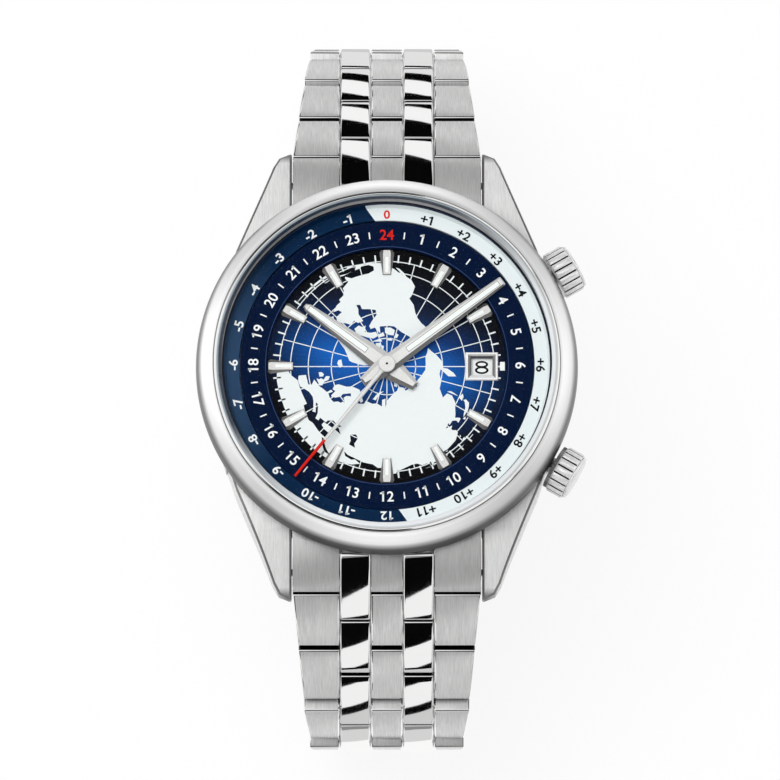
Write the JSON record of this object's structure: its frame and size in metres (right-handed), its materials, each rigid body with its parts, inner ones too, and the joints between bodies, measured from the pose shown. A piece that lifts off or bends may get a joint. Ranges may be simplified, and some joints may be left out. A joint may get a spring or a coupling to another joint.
{
  "type": "wristwatch",
  "caption": "World time wristwatch on a closed five-piece link bracelet, with a blue polar map dial, an offset ring and two crowns.",
  "frame": {"origin": "centre of the case back's outer face, on the axis of the hands", "axes": "+Z out of the dial, +Y towards 12 o'clock, +X towards 3 o'clock"},
  "size_m": [0.0429, 0.0804, 0.0472],
  "materials": {
    "brushed_case_steel": "brushed",
    "brushed_link_steel": "brushed",
    "polished_link_steel": "polished",
    "polished_steel": "polished",
    "bright_steel": "polished",
    "stem_steel": "satin",
    "sapphire_glass": "polished",
    "blue_dial": "gloss",
    "blue_ring": "satin",
    "offset_ring": "satin",
    "white_disc": "matte",
    "movement_metal": "satin"
  },
  "bodies": {
    "watch_head": {"case_body": "brushed_case_steel", "case_back": "polished_steel", "bezel": "polished_steel", "crystal": "sapphire_glass", "dial": "blue_dial", "city_ring": "blue_ring", "hour_markers": "bright_steel", "date_frame": "bright_steel", "movement": "movement_metal", "crown_tubes": "stem_steel", "end_link_12": "brushed_case_steel", "end_link_6": "brushed_case_steel", "lug_bar_12": "stem_steel", "lug_bar_6": "stem_steel"},
    "offset_ring": {"offset_ring": "offset_ring"},
    "ring_crown": {"ring_crown": "polished_steel", "ring_stem": "stem_steel"},
    "stem_collar": {"stem_collar": "stem_steel"},
    "setting_crown": {"setting_crown": "polished_steel", "winding_stem": "stem_steel"},
    "hour_hand": {"hour_hand": "bright_steel"},
    "minute_hand": {"minute_hand": "bright_steel"},
    "seconds_hand": {"seconds_hand": "bright_steel"},
    "date_disc": {"date_disc": "white_disc"},
    "rotor": {"rotor": "movement_metal"},
    "row_12_1": {"row_12_1_brushed": "brushed_link_steel", "row_12_1_polished": "polished_link_steel"},
    "row_12_2": {"row_12_2_brushed": "brushed_link_steel", "row_12_2_polished": "polished_link_steel"},
    "row_12_3": {"row_12_3_brushed": "brushed_link_steel", "row_12_3_polished": "polished_link_steel"},
    "row_12_4": {"row_12_4_brushed": "brushed_link_steel", "row_12_4_polished": "polished_link_steel"},
    "row_12_5": {"row_12_5_brushed": "brushed_link_steel", "row_12_5_polished": "polished_link_steel"},
    "row_12_6": {"row_12_6_brushed": "brushed_link_steel", "row_12_6_polished": "polished_link_steel"},
    "row_12_7": {"row_12_7_brushed": "brushed_link_steel", "row_12_7_polished": "polished_link_steel"},
    "row_6_1": {"row_6_1_brushed": "brushed_link_steel", "row_6_1_polished": "polished_link_steel"},
    "row_6_2": {"row_6_2_brushed": "brushed_link_steel", "row_6_2_polished": "polished_link_steel"},
    "row_6_3": {"row_6_3_brushed": "brushed_link_steel", "row_6_3_polished": "polished_link_steel"},
    "row_6_4": {"row_6_4_brushed": "brushed_link_steel", "row_6_4_polished": "polished_link_steel"},
    "row_6_5": {"row_6_5_brushed": "brushed_link_steel", "row_6_5_polished": "polished_link_steel"},
    "row_6_6": {"row_6_6_brushed": "brushed_link_steel", "row_6_6_polished": "polished_link_steel"},
    "row_6_7": {"row_6_7_brushed": "brushed_link_steel", "row_6_7_polished": "polished_link_steel", "clasp_bar": "stem_steel"},
    "clasp_short_blade": {"clasp_short_blade": "polished_link_steel"},
    "clasp_long_blade": {"clasp_long_blade": "polished_link_steel"},
    "clasp_cover": {"clasp_cover": "brushed_link_steel"},
    "pusher_right": {"clasp_pusher_right": "brushed_link_steel"},
    "pusher_left": {"clasp_pusher_left": "brushed_link_steel"}
  },
  "joints": [
    {"name": "ring_turn", "type": "hinge", "parent": "watch_head", "child": "offset_ring", "pos_m": [0, 0, 0.0075], "axis": [0, 0, 1], "continuous": true},
    {"name": "ring_crown_turn", "type": "hinge", "parent": "watch_head", "child": "ring_crown", "pos_m": [0.01732, 0.01, 0.0062], "axis": [0.866, 0.5, 0], "continuous": true},
    {"name": "crown_pull", "type": "slide", "parent": "watch_head", "child": "stem_collar", "axis": [0.866, -0.5, 0], "range_m": [0, 0.001]},
    {"name": "crown_turn", "type": "hinge", "parent": "stem_collar", "child": "setting_crown", "pos_m": [0.01732, -0.01, 0.0062], "axis": [0.866, -0.5, 0], "continuous": true},
    {"name": "minute_turn", "type": "hinge", "parent": "watch_head", "child": "minute_hand", "pos_m": [0, 0, 0.01005], "axis": [0, 0, -1], "continuous": true},
    {"name": "hour_turn", "type": "hinge", "parent": "watch_head", "child": "hour_hand", "pos_m": [0, 0, 0.00965], "axis": [0, 0, -1], "continuous": true},
    {"name": "seconds_turn", "type": "hinge", "parent": "watch_head", "child": "seconds_hand", "pos_m": [0, 0, 0.01045], "axis": [0, 0, -1], "continuous": true},
    {"name": "date_turn", "type": "hinge", "parent": "watch_head", "child": "date_disc", "pos_m": [0, 0, 0.0084], "axis": [0, 0, -1], "continuous": true},
    {"name": "rotor_turn", "type": "hinge", "parent": "watch_head", "child": "rotor", "pos_m": [0, 0, 0.0041], "axis": [0, 0, -1], "continuous": true},
    {"name": "row_12_1_pivot", "type": "hinge", "parent": "watch_head", "child": "row_12_1", "pos_m": [0, 0.02489, 0.00255], "axis": [1, 0, 0], "range_deg": [0, 5.6]},
    {"name": "row_12_2_pivot", "type": "hinge", "parent": "row_12_1", "child": "row_12_2", "pos_m": [0, 0.03007, -0.00174], "axis": [1, 0, 0], "range_deg": [0, 4.4]},
    {"name": "row_12_3_pivot", "type": "hinge", "parent": "row_12_2", "child": "row_12_3", "pos_m": [0, 0.03491, -0.00641], "axis": [1, 0, 0], "range_deg": [0, 12.8]},
    {"name": "row_12_4_pivot", "type": "hinge", "parent": "row_12_3", "child": "row_12_4", "pos_m": [0, 0.03859, -0.01203], "axis": [1, 0, 0], "range_deg": [0, 22.2]},
    {"name": "row_12_5_pivot", "type": "hinge", "parent": "row_12_4", "child": "row_12_5", "pos_m": [0, 0.03987, -0.01862], "axis": [1, 0, 0], "range_deg": [0, 27]},
    {"name": "row_12_6_pivot", "type": "hinge", "parent": "row_12_5", "child": "row_12_6", "pos_m": [0, 0.03802, -0.02508], "axis": [1, 0, 0], "range_deg": [0, 27]},
    {"name": "row_12_7_pivot", "type": "hinge", "parent": "row_12_6", "child": "row_12_7", "pos_m": [0, 0.03343, -0.03], "axis": [1, 0, 0], "range_deg": [0, 28]},
    {"name": "row_6_1_pivot", "type": "hinge", "parent": "watch_head", "child": "row_6_1", "pos_m": [0, -0.02491, 0.00255], "axis": [-1, 0, 0], "range_deg": [0, 5.2]},
    {"name": "row_6_2_pivot", "type": "hinge", "parent": "row_6_1", "child": "row_6_2", "pos_m": [0, -0.03012, -0.0017], "axis": [-1, 0, 0], "range_deg": [0, 5.2]},
    {"name": "row_6_3_pivot", "type": "hinge", "parent": "row_6_2", "child": "row_6_3", "pos_m": [0, -0.03492, -0.0064], "axis": [-1, 0, 0], "range_deg": [0, 28.4]},
    {"name": "row_6_4_pivot", "type": "hinge", "parent": "row_6_3", "child": "row_6_4", "pos_m": [0, -0.03691, -0.01282], "axis": [-1, 0, 0], "range_deg": [0, 29]},
    {"name": "row_6_5_pivot", "type": "hinge", "parent": "row_6_4", "child": "row_6_5", "pos_m": [0, -0.03553, -0.0194], "axis": [-1, 0, 0], "range_deg": [0, 15.2]},
    {"name": "row_6_6_pivot", "type": "hinge", "parent": "row_6_5", "child": "row_6_6", "pos_m": [0, -0.03248, -0.02539], "axis": [-1, 0, 0], "range_deg": [0, 22]},
    {"name": "row_6_7_pivot", "type": "hinge", "parent": "row_6_6", "child": "row_6_7", "pos_m": [0, -0.02741, -0.02979], "axis": [-1, 0, 0], "range_deg": [0, 20.1]},
    {"name": "clasp_pivot", "type": "hinge", "parent": "row_12_7", "child": "clasp_short_blade", "pos_m": [0, 0.02708, -0.03219], "axis": [1, 0, 0], "range_deg": [0, 60]},
    {"name": "clasp_fold", "type": "hinge", "parent": "clasp_short_blade", "child": "clasp_long_blade", "pos_m": [0, -0.01413, -0.03269], "axis": [-1, 0, 0], "range_deg": [0, 120]},
    {"name": "cover_fold", "type": "hinge", "parent": "clasp_long_blade", "child": "clasp_cover", "pos_m": [0, 0.02348, -0.03349], "axis": [1, 0, 0], "range_deg": [0, 120]},
    {"name": "pusher_right_press", "type": "slide", "parent": "clasp_cover", "child": "pusher_right", "axis": [-1, 0, 0], "range_m": [0, 0.0005], "stiffness_N_per_m": 400},
    {"name": "pusher_left_press", "type": "slide", "parent": "clasp_cover", "child": "pusher_left", "axis": [1, 0, 0], "range_m": [0, 0.0005], "stiffness_N_per_m": 400}
  ],
  "couplings": [
    {"joint": "ring_crown_turn", "follows": "ring_turn", "ratio": -12},
    {"joint": "hour_turn", "follows": "minute_turn", "ratio": 0.083333},
    {"joint": "date_turn", "follows": "minute_turn", "ratio": 0.0013441}
  ]
}
